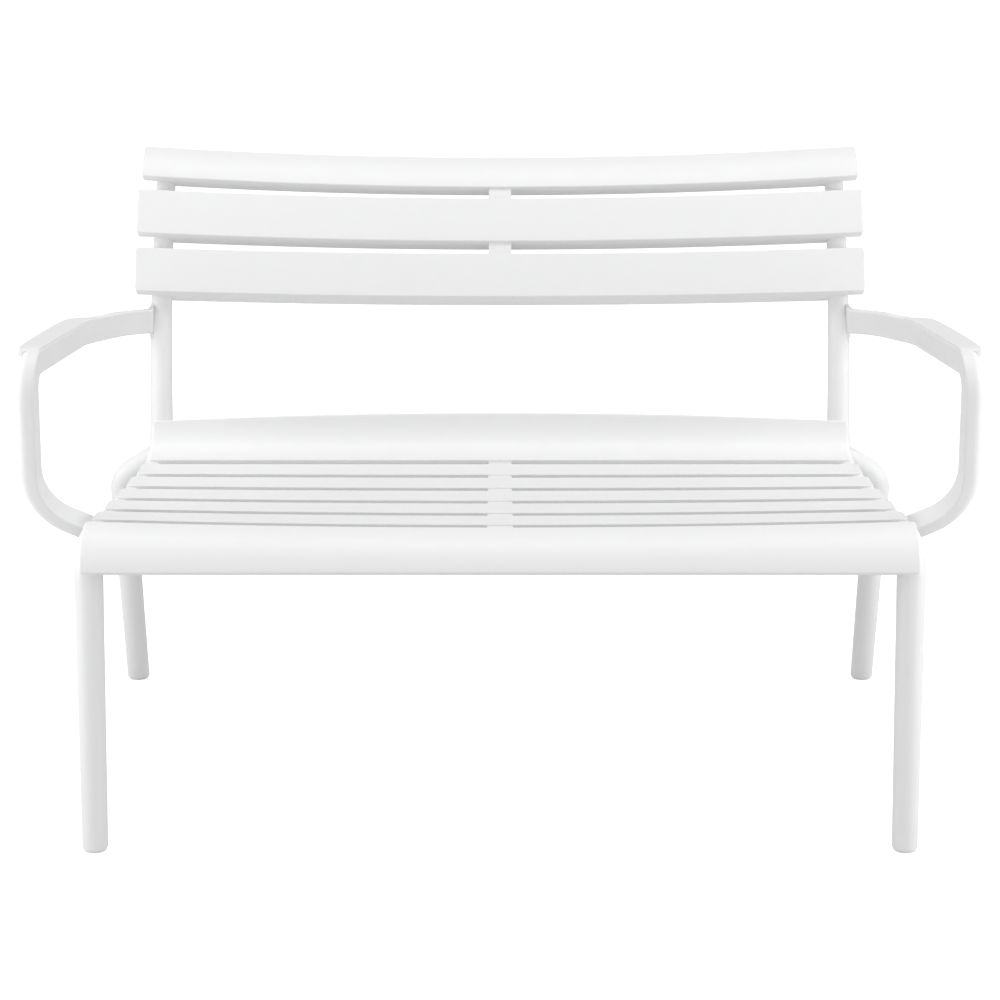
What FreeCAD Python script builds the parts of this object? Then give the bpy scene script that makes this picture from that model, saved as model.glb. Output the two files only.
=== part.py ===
import FreeCAD, Part
import math
import os

# A two-seat slatted garden bench in moulded resin, millimetres, +Z up, +X to the sitter's left hand
# as seen from the front. The heights start at the floor and the depths ("back") start at the line
# through the front feet; origin_back moves the finished bench so that its box is centred on Y = 0.
# A rise or a drop is measured from the height of the side frame's knee.

V = FreeCAD.Vector
doc = FreeCAD.newDocument("GardenBench")
sizes = doc.addObject("Spreadsheet::Sheet", "sizes")

SIZES = [
    # side frame, one bent and tapered tube: foot, knee, rail, seat bend, upright
    ("front_foot_x", 487.0), ("upright_x", 457.0), ("origin_back", 327.3),
    ("leg_lean", 6.8), ("knee_height", 370.5), ("rail_dip_back", 243.0), ("rail_dip_drop", 13.2),
    ("seat_bend_back", 468.1), ("seat_bend_drop", 5.3),
    ("low_lean", 9.5), ("high_lean", 39.0), ("upright_mid", 242.0), ("upright_top", 187.0),
    ("knee_bend", 42.0), ("rail_bend", 3000.0), ("seat_bend", 68.0), ("upright_bend", 700.0),
    ("foot_radius", 15.3), ("knee_radius", 17.2), ("rail_radius", 15.1), ("tip_radius", 12.4),
    # rear legs, outside the side frames
    ("rear_foot_x", 526.0), ("rear_foot_back", 629.0), ("rear_knee_x", 509.5),
    ("rear_knee_back", 452.9), ("rear_knee_drop", 25.5), ("rear_bend", 35.0),
    ("rear_foot_radius", 15.5), ("rear_knee_radius", 16.5), ("rear_end_radius", 14.0),
    # glides
    ("glide_height", 3.0), ("glide_radius", 13.6), ("glide_stem", 5.0), ("glide_depth", 10.0),
    ("glide_edge", 1.2),
    # saddles: the slats are notched over the tubes with this much room for the bond
    ("saddle_fit", 0.2),
    # seat
    ("seat_proud", 2.5), ("seat_dish", 7.5), ("seat_bow", 30.0), ("slat_overhang", 8.5),
    ("slat_depth", 17.0), ("slat_edge", 1.6), ("slat_width", 49.9),
    ("slat_gap", 12.5), ("roll_gap", 16.0), ("rear_gap", 13.0), ("roll_rear", 76.0),
    ("roll_front", 21.0), ("roll_drop", 33.5), ("roll_under", 4.0), ("roll_radius", 62.0),
    ("roll_wall", 13.0), ("roll_lift", 1.5), ("rear_roll_rise", 51.5), ("rear_roll_wall", 13.0),
    ("rear_roll_crown", 3.0),
    # seat rib under the middle
    ("rib_width", 31.0), ("rib_depth", 27.0), ("rib_recess", 1.5), ("rib_lap", 7.5), ("rib_end", 14.0),
    # back
    ("back_half", 489.0), ("back_top_half", 486.0), ("back_bow", 30.0), ("back_proud", 15.5),
    ("back_depth", 34.0), ("back_draw", 33.0), ("back_edge", 1.8), ("back_rise", 221.5),
    ("back_sink", 1.3), ("back_height", 63.3), ("back_gap", 17.7), ("back_top_height", 57.0),
    ("back_curl", 13.0),
    ("strip_width", 31.0), ("strip_recess", 4.0), ("strip_depth", 22.0), ("strip_lap", 12.0),
    ("strip_end", 12.0),
    # arms
    ("arm_thick", 20.5), ("arm_wide", 32.0), ("arm_rear_rise", 179.5),
    ("arm_front_rise", 214.7), ("arm_out_x", 505.0), ("arm_out_back", 487.0),
    ("arm_turn_x", 544.0), ("arm_turn_back", 375.0), ("arm_front_x", 550.5), ("arm_front_back", 51.6),
    ("post_low_x", 561.0), ("post_low_back", 96.0), ("post_low_rise", 31.0),
    ("post_end_back", 119.7), ("post_end_drop", 6.0), ("arm_out_bend", 88.0),
    ("arm_turn_bend", 300.0), ("arm_front_bend", 30.0), ("post_bend", 78.0), ("arm_round", 7.0),
    # armrest caps
    ("cap_thick", 5.0), ("cap_lip", 9.0), ("cap_lip_wall", 4.0), ("cap_edge", 1.0),
    ("cap_corner", 4.0), ("cap_front_back", 76.0), ("cap_front_x", 566.0), ("cap_middle_back", 205.0),
    ("cap_middle_x", 568.0), ("cap_end_back", 381.0), ("cap_end_x", 564.0),
    ("cap_tail_back", 404.0), ("cap_tail_x", 546.0),
]

# How many narrow seat slats there are, and in how many straight steps the curved outlines are drawn.
SEAT_SLATS = 5
ROLL_STEPS = 8
RIB_STEPS = 8
STRIP_STEPS = 6

# The rear roll's face starts this many degrees round from the direction of greater depth.
ROLL_FOOT = -87.0

for row, (alias, value) in enumerate(SIZES, start=1):
    sizes.set("A%d" % row, alias)
    sizes.set("B%d" % row, str(value))
    sizes.setAlias("B%d" % row, alias)
doc.recompute()


def size(alias):
    return float(sizes.get(alias))


def rad(alias):
    return math.radians(size(alias))


def above_knee(alias):
    # heights are set from the knee of the side frame, so the seat, back and arms go up and down with it
    return size("knee_height") + size(alias)


def below_knee(alias):
    return size("knee_height") - size(alias)


# Paths: straight runs joined by tangent arcs.

def bent_path(corners, bends):
    edges = []
    last = corners[0]
    for i in range(1, len(corners) - 1):
        here = corners[i]
        before = (corners[i - 1] - here).normalize()
        after = (corners[i + 1] - here).normalize()
        half = math.acos(before.dot(after)) / 2
        reach = bends[i - 1] / math.tan(half)
        start = here + before * reach
        end = here + after * reach
        inward = (before + after).normalize()
        middle = here + inward * (bends[i - 1] / math.sin(half) - bends[i - 1])
        edges.append(Part.LineSegment(last, start).toShape())
        edges.append(Part.Arc(start, middle, end).toShape())
        last = end
    edges.append(Part.LineSegment(last, corners[-1]).toShape())
    return edges


def leaning(degrees):
    return V(0, math.sin(math.radians(degrees)), math.cos(math.radians(degrees)))


def knee_back():
    return size("knee_height") * math.tan(rad("leg_lean"))


def rail_share(back):
    # 0 at the knee of the side frame, 1 at its seat bend
    return (back - knee_back()) / (size("seat_bend_back") - knee_back())


def rail_x(back):
    return size("front_foot_x") + (size("upright_x") - size("front_foot_x")) * rail_share(back)


def frame_corners():
    lean = size("leg_lean")
    knee = V(size("front_foot_x"), knee_back(), size("knee_height"))
    leg_length = below_knee("glide_height") / math.cos(math.radians(lean))
    foot = knee - leaning(lean) * leg_length
    dip = V(rail_x(size("rail_dip_back")), size("rail_dip_back"), below_knee("rail_dip_drop"))
    bend = V(size("upright_x"), size("seat_bend_back"), below_knee("seat_bend_drop"))
    middle = bend + leaning(size("low_lean")) * size("upright_mid")
    top = middle + leaning(size("high_lean")) * size("upright_top")
    return [foot, knee, dip, bend, middle, top]


# The side frame's path runs leg, knee, short run, rail, short run, seat bend, short run, upright, tip.
FRAME = frame_corners()
FRAME_PATH = bent_path(FRAME, [size("knee_bend"), size("rail_bend"), size("seat_bend"),
                               size("upright_bend")])
LEG, KNEE, KNEE_RUN, RAIL, RAIL_RUN, SEAT_BEND, SEAT_RUN, UPRIGHT, TIP = FRAME_PATH


def point_where(edge, reached):
    # the first point of the edge for which reached(point) holds, found by halving
    low, high = edge.FirstParameter, edge.LastParameter
    for _ in range(40):
        middle = (low + high) / 2
        if reached(edge.valueAt(middle)):
            high = middle
        else:
            low = middle
    return edge.valueAt(low)


def rail_point(back):
    for edge in FRAME_PATH[1:6]:
        if edge.firstVertex().Point.y <= back <= edge.lastVertex().Point.y:
            return point_where(edge, lambda point: point.y >= back)
    raise ValueError("no rail at %g" % back)


def taper_share(back):
    # how far the rail's taper has gone at this depth
    start, end = RAIL.firstVertex().Point.y, RAIL.lastVertex().Point.y
    return min(1.0, max(0.0, (back - start) / (end - start)))


def tube_radius(back):
    return size("knee_radius") + (size("rail_radius") - size("knee_radius")) * taper_share(back)


# Document helpers.

def blend(first, last, share):
    # the expression for a size that lies between two cells of the sheet
    return "sizes.%s + (sizes.%s - sizes.%s) * %.5f" % (first, last, first, share)


def circle(name, point, normal, radius_text):
    ring = doc.addObject("Part::Circle", name)
    ring.setExpression("Radius", radius_text)
    ring.Placement = FreeCAD.Placement(point, FreeCAD.Rotation(V(0, 0, 1), normal))
    return ring


def sweep(name, edges, section):
    spine = doc.addObject("Part::Feature", name + "Spine")
    spine.Shape = Part.Wire(edges)
    pipe = doc.addObject("Part::Sweep", name)
    pipe.Sections = [section]
    pipe.Spine = (spine, ["Edge%d" % (i + 1) for i in range(len(edges))])
    pipe.Solid = True
    pipe.Frenet = False
    return pipe


def even_run(name, edge, alias):
    # a stretch of tube with one radius
    ring = circle(name + "Ring", edge.valueAt(edge.FirstParameter), edge.tangentAt(edge.FirstParameter),
                  "sizes." + alias)
    return sweep(name, [edge], ring)


def tapered_run(name, edge, first, last, spans, level_start=False):
    # a stretch of tube that tapers evenly along its edge, through a ring after each span
    rings = []
    for i in range(spans + 1):
        parameter = edge.FirstParameter + (edge.LastParameter - edge.FirstParameter) * i / spans
        normal = V(0, 0, 1) if level_start and i == 0 else edge.tangentAt(parameter)
        radius_text = blend(first, last, i / spans)
        rings.append(circle("%sRing%d" % (name, i), edge.valueAt(parameter), normal, radius_text))
    return loft(name, rings)


def loft(name, sections):
    skin = doc.addObject("Part::Loft", name)
    skin.Sections = sections
    skin.Solid = True
    skin.Ruled = True
    return skin


def cut(name, base, tools):
    for i, tool in enumerate(tools):
        trimmed = doc.addObject("Part::Cut", "%s%d" % (name, i))
        trimmed.Base = base
        trimmed.Tool = tool
        base = trimmed
    return base


def fuse(name, pieces):
    joined = doc.addObject("Part::MultiFuse", name)
    joined.Shapes = pieces
    return joined


def mirrored(name, source):
    twin = doc.addObject("Part::Mirroring", name)
    twin.Source = source
    twin.Base = V(0, 0, 0)
    twin.Normal = V(1, 0, 0)
    return twin


def both_sides(name, source):
    return [source, mirrored(name + "Mirror", source)]


def origin_plane(body, role):
    return [f for f in body.Origin.OriginFeatures if f.Role == role][0]


def sketch_on(body, name, role, points, offset=0.0, expression=None):
    # a closed outline of straight edges on one of the body's own planes
    sketch = body.newObject("Sketcher::SketchObject", name)
    sketch.AttachmentSupport = [(origin_plane(body, role), "")]
    sketch.MapMode = "FlatFace"
    sketch.AttachmentOffset = FreeCAD.Placement(V(0, 0, offset), FreeCAD.Rotation())
    if expression:
        sketch.setExpression(".AttachmentOffset.Base.z", expression)
    sketch.addGeometry([Part.LineSegment(points[i - 1], points[i]) for i in range(len(points))], False)
    return sketch


# Profiles: in these a point is (depth, height).

def arc_point(centre, radius, angle):
    # angles in degrees, anticlockwise from the direction of greater depth
    turn = math.radians(angle)
    return centre + V(math.cos(turn), math.sin(turn), 0) * radius


def arc_points(centre, radius, start, end, steps):
    return [arc_point(centre, radius, start + (end - start) * i / steps) for i in range(steps + 1)]


def chamfered(points, trims):
    outline = []
    for i, here in enumerate(points):
        before = (points[i - 1] - here).normalize()
        after = (points[(i + 1) % len(points)] - here).normalize()
        outline += [here + before * trims[i], here + after * trims[i]]
    return outline


def bowed_body(name, half, half_text, end_points, middle_points):
    # a slat: the same outline at both ends and its shifted twin in the middle, joined by a smooth loft
    body = doc.addObject("PartDesign::Body", name)
    sections = [sketch_on(body, name + "Right", "YZ_Plane", end_points, half, half_text),
                sketch_on(body, name + "Middle", "YZ_Plane", middle_points),
                sketch_on(body, name + "Left", "YZ_Plane", end_points, -half, "-(%s)" % half_text)]
    skin = body.newObject("PartDesign::AdditiveLoft", name + "Loft")
    skin.Profile = sections[0]
    skin.Sections = sections[1:]
    skin.Ruled = False
    body.Tip = skin
    return body


def bar_body(name, points, width_alias):
    # a bar of one width across the middle of the bench
    body = doc.addObject("PartDesign::Body", name)
    pad = body.newObject("PartDesign::Pad", name + "Pad")
    pad.Profile = sketch_on(body, name + "Profile", "YZ_Plane", points)
    pad.Midplane = True
    pad.setExpression("Length", "sizes." + width_alias)
    body.Tip = pad
    return body


# Side frame.

def side_frame():
    return fuse("SideFrame", [
        tapered_run("FrameLeg", LEG, "foot_radius", "knee_radius", 1, level_start=True),
        even_run("FrameKnee", KNEE, "knee_radius"),
        even_run("FrameKneeRun", KNEE_RUN, "knee_radius"),
        tapered_run("FrameRail", RAIL, "knee_radius", "rail_radius", 3),
        even_run("FrameRailRun", RAIL_RUN, "rail_radius"),
        even_run("FrameSeatBend", SEAT_BEND, "rail_radius"),
        even_run("FrameSeatRun", SEAT_RUN, "rail_radius"),
        tapered_run("FrameUpright", UPRIGHT, "rail_radius", "tip_radius", 7),
        even_run("FrameTip", TIP, "tip_radius"),
    ])


# Rear leg.

def leg_path():
    knee = V(size("rear_knee_x"), size("rear_knee_back"), below_knee("rear_knee_drop"))
    ground = V(size("rear_foot_x"), size("rear_foot_back"), 0)
    end = SEAT_BEND.valueAt((SEAT_BEND.FirstParameter + SEAT_BEND.LastParameter) / 2)
    return bent_path([ground, knee, end], [size("rear_bend")])


def cone_run(name, edge, first, last):
    cone = doc.addObject("Part::Cone", name)
    cone.setExpression("Radius1", "sizes." + first)
    cone.setExpression("Radius2", "sizes." + last)
    start, end = edge.firstVertex().Point, edge.lastVertex().Point
    cone.Height = (end - start).Length
    cone.Placement = FreeCAD.Placement(start, FreeCAD.Rotation(V(0, 0, 1), end - start))
    return cone


def rear_leg():
    # the shin starts below the floor, and a block takes its foot off level above the glide
    shin, bend, shoulder = leg_path()
    start, end = shin.firstVertex().Point, shin.lastVertex().Point
    deep = Part.LineSegment(start - (end - start).normalize() * size("rear_foot_radius"), end).toShape()
    block = doc.addObject("Part::Box", "LegFloor")
    side = 6 * size("rear_foot_radius")
    block.Length, block.Width, block.Height = side, side, side
    block.Placement.Base = V(start.x - side / 2, start.y - side / 2, size("glide_height") - side)
    return fuse("RearLeg", [
        cut("LegShin", cone_run("LegShinCone", deep, "rear_foot_radius", "rear_knee_radius"), [block]),
        even_run("LegBend", bend, "rear_knee_radius"),
        cone_run("LegShoulder", shoulder, "rear_knee_radius", "rear_end_radius"),
    ])


def glide(name, x, back):
    # a floor pad with a stem that plugs into the foot of the tube
    rim, stem = size("glide_radius"), size("glide_stem")
    top, bevel = size("glide_height"), size("glide_edge")
    tip = top + size("glide_depth")
    body = doc.addObject("PartDesign::Body", name)
    sketch = sketch_on(body, name + "Profile", "XZ_Plane", [
        V(0, 0, 0), V(rim - bevel, 0, 0), V(rim, bevel, 0), V(rim, top, 0), V(stem, top, 0),
        V(stem, tip, 0), V(0, tip, 0)])
    turn = body.newObject("PartDesign::Revolution", name + "Turn")
    turn.Profile = sketch
    turn.ReferenceAxis = (sketch, ["V_Axis"])
    turn.Angle = 360
    body.Tip = turn
    body.Placement = FreeCAD.Placement(V(x, back, 0), FreeCAD.Rotation())
    return body


# Seat. Every line across it is level with the rails at its ends, sinks by the dish in the middle
# and lies further back there by a bow that grows from the front roll to the rear roll.

def seat_height(back, middle):
    top = rail_point(back).z + tube_radius(back) + size("seat_proud")
    return top - size("seat_dish") if middle else top


def slat_front(index):
    start = size("roll_rear") + size("roll_gap")
    pitch = size("slat_width") + size("slat_gap")
    if index == SEAT_SLATS:
        return start + index * pitch - size("slat_gap") + size("rear_gap")
    return start + index * pitch


def bow(back):
    first, last = size("roll_rear"), slat_front(SEAT_SLATS)
    return size("seat_bow") * (back - first) / (last - first)


def seat_half(back):
    return rail_x(back) + size("slat_overhang")


def seat_half_text(back):
    return blend("front_foot_x", "upright_x", rail_share(back)) + " + sizes.slat_overhang"


def slat_outline(front, rear, middle):
    near = front + bow(front) * middle
    far = rear + bow(rear) * middle
    high_near, high_far = seat_height(front, middle), seat_height(rear, middle)
    depth, edge = size("slat_depth"), size("slat_edge")
    corners = [V(near, high_near, 0), V(far, high_far, 0), V(far, high_far - depth, 0),
               V(near, high_near - depth, 0)]
    return chamfered(corners, [edge, edge, edge / 2, edge / 2])


def seat_slat(index):
    front = slat_front(index)
    rear = front + size("slat_width")
    centre = (front + rear) / 2
    return bowed_body("SeatSlat%d" % (index + 1), seat_half(centre), seat_half_text(centre),
                      slat_outline(front, rear, False), slat_outline(front, rear, True))


def roll_outline(drop):
    # the outer face is one arc from the rear edge over the crest down to the turned-under front edge
    radius, wall = size("roll_radius"), size("roll_wall")
    under, edge = size("roll_under"), size("slat_edge")
    low = below_knee("roll_drop")
    rear_point = V(size("roll_rear"), seat_height(size("roll_rear"), False) + size("roll_lift") - drop, 0)
    front_point = V(size("roll_front"), low + under, 0)
    chord = front_point - rear_point
    across = V(-chord.y, chord.x, 0).normalize()
    centre = (front_point + rear_point) * 0.5 + across * math.sqrt(radius ** 2 - (chord.Length / 2) ** 2)
    start = math.degrees(math.atan2(rear_point.y - centre.y, rear_point.x - centre.x))
    end = math.degrees(math.atan2(front_point.y - centre.y, front_point.x - centre.x)) % 360
    rim = math.degrees(edge / radius)
    outer = arc_points(centre, radius, start + rim, end, ROLL_STEPS)
    inner = arc_points(centre, radius - wall, end, start, ROLL_STEPS)
    return outer + [V(front_point.x + under, low, 0)] + inner + [arc_point(centre, radius - edge, start)]


def front_roll():
    back = (size("roll_front") + size("roll_rear")) / 2
    return bowed_body("FrontRoll", seat_half(back), seat_half_text(back),
                      roll_outline(0.0), roll_outline(size("seat_dish")))


def rear_roll_outline(middle):
    # lies in the hollow of the seat bend and ends along the leaning upright
    hub = V(SEAT_BEND.Curve.Center.y, SEAT_BEND.Curve.Center.z, 0)
    inner = size("seat_bend") - size("rail_radius") - size("seat_proud")
    wall, edge, lean = size("rear_roll_wall"), size("slat_edge"), size("low_lean")
    front = slat_front(SEAT_SLATS)
    face = arc_points(hub, inner, ROLL_FOOT, -lean, ROLL_STEPS)
    outside = arc_points(hub, inner + wall, -lean, ROLL_FOOT, ROLL_STEPS)
    lip = V(front, seat_height(front, False), 0)
    up = V(math.sin(math.radians(lean)), math.cos(math.radians(lean)), 0)
    rise = (above_knee("rear_roll_rise") - face[-1].y) / up.y
    if middle:
        rise += (size("rear_roll_crown") + size("seat_dish")) / up.y
    top, top_outside = face[-1] + up * rise, outside[0] + up * rise
    out = V(up.y, -up.x, 0)
    points = [lip + V(0, -edge, 0), lip + V(edge, 0, 0)] + face
    points += [top - up * edge, top + out * edge, top_outside] + outside + [lip + V(0, -wall, 0)]
    if middle:
        shift = V(bow(front), -size("seat_dish"), 0)
        points = [point + shift for point in points]
    return points


def rear_roll():
    back = size("seat_bend_back")
    return bowed_body("RearRoll", seat_half(back), seat_half_text(back),
                      rear_roll_outline(False), rear_roll_outline(True))


def rib_band(name, high, low):
    # a bar under the middle of the seat that keeps these two distances below the seat line
    first = size("roll_rear") - size("rib_end")
    last = slat_front(SEAT_SLATS) + size("seat_bow") + size("rib_end")
    depths = [first + (last - first) * i / RIB_STEPS for i in range(RIB_STEPS + 1)]

    def seat_line(depth):
        on_rail = size("roll_rear") + (depth - size("roll_rear")) * bow_squeeze()
        return seat_height(min(max(on_rail, size("roll_rear")), slat_front(SEAT_SLATS)), True)

    upper = [V(depth, seat_line(depth) - high, 0) for depth in depths]
    lower = [V(depth, seat_line(depth) - low, 0) for depth in reversed(depths)]
    return bar_body(name, upper + lower, "rib_width")


def bow_squeeze():
    # a depth in the middle of the bench against the same seat line's depth over the rails
    span = slat_front(SEAT_SLATS) - size("roll_rear")
    return span / (span + size("seat_bow"))


# Back. The slats' front faces lie on an arc about the centre of the uprights' bend.

def back_centre():
    centre = UPRIGHT.Curve.Center
    return V(centre.y, centre.z, 0)


def back_at(radius, lean):
    return arc_point(back_centre(), radius, 180 - lean)


def back_face():
    return size("upright_bend") + size("rail_radius") - size("back_sink") + size("back_proud")


def back_slat_leans():
    # the angle above level, seen from the centre of the bend, at which each slat starts and ends
    face = back_face()
    start = math.degrees(math.asin((above_knee("back_rise") - back_centre().y) / face))
    leans = []
    for height in (size("back_height"), size("back_height"), size("back_top_height")):
        end = start + math.degrees(height / face)
        leans.append((start, end))
        start = end + math.degrees(size("back_gap") / face)
    return leans


def back_outline(leans, curl, sag, near, far):
    # the part of a slat between two depths behind its face; the faces above and below follow the draw
    # of the mould, and curl lays the upper edge back
    start, end = leans
    middle = math.radians((start + end) / 2)
    backwards = V(math.cos(middle), -math.sin(middle), 0)
    draft = V(math.cos(rad("back_draw")), -math.sin(rad("back_draw")), 0)
    low = back_at(back_face(), start) + backwards * sag
    high = back_at(back_face(), end) + backwards * (curl + sag)
    edge = size("back_edge")
    front_edge = 0.25 * edge if near else edge
    corners = [low + draft * near, high + draft * near, high + draft * far, low + draft * far]
    return chamfered(corners, [front_edge, front_edge, edge, edge])


def back_slat(name, leans, curl, half_alias):
    # a full-length face that laps over the uprights, and a deeper core between them
    half = size(half_alias)
    end_sag = -size("back_bow") * (1 - (size("upright_x") / half) ** 2)
    middle_sag = size("back_bow") + end_sag
    proud, depth = size("back_proud"), size("back_depth")
    face = bowed_body(name + "Face", half, "sizes." + half_alias,
                      back_outline(leans, curl, end_sag, 0, proud),
                      back_outline(leans, curl, middle_sag, 0, proud))
    lap = proud - size("back_edge") - size("saddle_fit")
    core = bowed_body(name + "Core", size("upright_x"), "sizes.upright_x",
                      back_outline(leans, curl, 0, lap, depth),
                      back_outline(leans, curl, middle_sag, lap, depth))
    return fuse(name + "Whole", [face, core])


def strip_band(name, near, far):
    # the flat strip behind the middle of the back, from slat to slat
    leans = back_slat_leans()
    overlap = math.degrees(size("strip_end") / back_face())
    start, end = leans[0][1] - overlap, leans[2][0] + overlap
    face = back_face() - size("back_bow") * (size("upright_x") / size("back_half")) ** 2
    steps = [start + (end - start) * i / STRIP_STEPS for i in range(STRIP_STEPS + 1)]
    points = [back_at(face - near, lean) for lean in steps]
    points += [back_at(face - far, lean) for lean in reversed(steps)]
    return bar_body(name, points, "strip_width")


# Saddles: the room that a tube takes out of the slats that lie on it.

def saddle(name, start, end, radius_text):
    # a straight bore along the tube, from one slat edge to the other and as far again beyond each
    along = end - start
    bore = doc.addObject("Part::Cylinder", name)
    bore.setExpression("Radius", radius_text)
    bore.Height = 3 * along.Length
    bore.Placement = FreeCAD.Placement(start - along, FreeCAD.Rotation(V(0, 0, 1), along))
    return both_sides(name, bore)


def seat_saddle(name, front):
    rear = front + size("slat_width")
    fit = " + sizes.saddle_fit"
    return saddle(name, rail_point(front), rail_point(rear),
                  blend("knee_radius", "rail_radius", taper_share(front)) + fit)


def back_saddle(name, leans):
    # the tube bulges between the slat's edges, so the bore is wider by half the bulge and moved
    # by as much
    start, end = leans
    bulge = size("upright_bend") * (1 - math.cos(math.radians((end - start) / 2)))
    ends = [back_at(size("upright_bend") + bulge / 2, lean) for lean in leans]
    low, high = [V(size("upright_x"), point.x, point.y) for point in ends]
    bottom, top = UPRIGHT.firstVertex().Point.z, UPRIGHT.lastVertex().Point.z
    share = min(1.0, max(0.0, (low.z - bottom) / (top - bottom)))
    room = " + sizes.saddle_fit + %.3f" % (bulge / 2)
    return saddle(name, low, high, blend("rail_radius", "tip_radius", share) + room)


# Arms.

def arm_height(back):
    # the arm falls evenly from its front to the upright
    share = (back - size("arm_front_back")) / (FRAME[4].y - size("arm_front_back"))
    return above_knee("arm_front_rise") + (size("arm_rear_rise") - size("arm_front_rise")) * share


def arm_corners():
    root = point_where(UPRIGHT, lambda point: point.z >= above_knee("arm_rear_rise"))
    out = V(size("arm_out_x"), size("arm_out_back"), arm_height(size("arm_out_back")))
    turn = V(size("arm_turn_x"), size("arm_turn_back"), arm_height(size("arm_turn_back")))
    front = V(size("arm_front_x"), size("arm_front_back"), above_knee("arm_front_rise"))
    low = V(size("post_low_x"), size("post_low_back"), above_knee("post_low_rise"))
    end = rail_point(size("post_end_back")) - V(0, 0, size("post_end_drop"))
    return [root, out, turn, front, low, end]


def arm_section():
    # flat towards the seat, rounded on its outer side
    thick, wide, turn = size("arm_thick") / 2, size("arm_wide") / 2, size("arm_round")
    lower = arc_points(V(thick - turn, turn - wide, 0), turn, -90, 0, 3)
    upper = arc_points(V(thick - turn, wide - turn, 0), turn, 0, 90, 3)
    edge = size("slat_edge")
    return lower + upper + [V(edge - thick, wide, 0), V(-thick, wide - edge, 0),
                            V(-thick, edge - wide, 0), V(edge - thick, -wide, 0)]


ARM_PATH = bent_path(arm_corners(), [size("arm_out_bend"), size("arm_turn_bend"), size("arm_front_bend"),
                                     size("post_bend")])


def arm_bar():
    start = ARM_PATH[0].firstVertex().Point
    along = ARM_PATH[0].tangentAt(ARM_PATH[0].FirstParameter)
    up = (V(0, 0, 1) - along * along.z).normalize()
    outward = up.cross(along)
    points = [start + outward * point.x + up * point.y for point in arm_section()]
    section = doc.addObject("Part::Feature", "ArmSection")
    section.Shape = Part.makePolygon(points + points[:1])
    return sweep("ArmBar", ARM_PATH, section)


def arm_inner_x(back):
    # the bar's face towards the seat, where its path still runs forward
    for edge in ARM_PATH[:6]:
        if edge.lastVertex().Point.y <= back <= edge.firstVertex().Point.y:
            return point_where(edge, lambda point: point.y <= back).x - size("arm_thick") / 2
    raise ValueError("no arm at %g" % back)


def cap_stations():
    # depth, outer edge and how far the outer lip hangs
    lip, front, front_x = size("cap_lip"), size("cap_front_back"), size("cap_front_x")
    return [(front, front_x - size("cap_corner"), lip),
            (front + size("cap_corner"), front_x, lip),
            (size("cap_middle_back"), size("cap_middle_x"), lip),
            (size("cap_end_back"), size("cap_end_x"), lip),
            (size("cap_tail_back"), size("cap_tail_x"), size("cap_thick") + size("cap_edge"))]


def cap_loft(name, outline):
    # outline(inner, outer, drop) gives the (x, height) corners of one cross-section, with heights
    # measured from the cap's top
    sections = []
    for i, (back, outer, drop) in enumerate(cap_stations()):
        top = arm_height(back) + size("arm_wide") / 2
        points = [V(x, back, top + z) for x, z in outline(arm_inner_x(back), outer, drop)]
        section = doc.addObject("Part::Feature", "%sSection%d" % (name, i))
        section.Shape = Part.makePolygon(points + points[:1])
        sections.append(section)
    return loft(name, sections)


def cap():
    # a flat top whose outer lip turns down past the bar
    thick, wall, edge = size("cap_thick"), size("cap_lip_wall"), size("cap_edge")
    return cap_loft("Cap", lambda inner, outer, drop: [
        (inner, -thick), (inner, -edge), (inner + edge, 0), (outer - 2 * edge, 0), (outer, -2 * edge),
        (outer, -drop), (outer - wall, -drop), (outer - wall - edge, -thick)])


def cap_room():
    # what the bar loses under the cap, right across its width
    thick, past = size("cap_thick"), size("arm_thick") / 2
    return cap_loft("CapRoom", lambda inner, outer, drop: [
        (inner - past, -thick), (inner - past, thick), (outer + past, thick), (outer + past, -thick)])


# The assembly.

frame_raw = side_frame()
leg_raw = rear_leg()
arm_raw = arm_bar()
cap_raw = cap()
frames = both_sides("SideFrame", frame_raw)
arms = both_sides("Arm", arm_raw)
legs = both_sides("Leg", leg_raw)
finished = {}

# the rib and the strip each stand in notches of the slats, which lap over them
rib_room = rib_band("RibRoom", size("rib_lap"), 2 * size("rib_depth"))
strip_room = strip_band("StripRoom", size("strip_lap"), 2 * size("back_depth"))

finished["seat_front_roll"] = cut("FrontRollTrim", front_roll(), frames + arms + [rib_room])
for i in range(SEAT_SLATS):
    tools = seat_saddle("SeatSaddle%d" % (i + 1), slat_front(i)) + [rib_room]
    if i == 0:
        tools += arms
    if i == SEAT_SLATS - 1:
        tools += legs
    finished["seat_slat_%d" % (i + 1)] = cut("SeatSlatTrim%d" % (i + 1), seat_slat(i), tools)
finished["seat_rear_roll"] = cut("RearRollTrim", rear_roll(), frames + legs + [rib_room])

seat_names = list(finished)
back_names = ["back_slat_bottom", "back_slat_middle", "back_slat_top"]
for name, leans in zip(back_names, back_slat_leans()):
    part = name.split("_")[-1].title()
    top = name == back_names[-1]
    curl = size("back_curl") if top else 0
    raw = back_slat("Back" + part, leans, curl, "back_top_half" if top else "back_half")
    finished[name] = cut("Back%sTrim" % part, raw, back_saddle("BackSaddle" + part, leans) + [strip_room])

rib = rib_band("Rib", size("rib_recess"), size("rib_depth"))
strip = strip_band("Strip", size("strip_recess"), size("strip_depth"))
finished["seat_centre_rib"] = cut("RibTrim", rib, [finished[name] for name in seat_names])
finished["back_centre_strip"] = cut("StripTrim", strip, [finished[name] for name in back_names])

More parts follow.
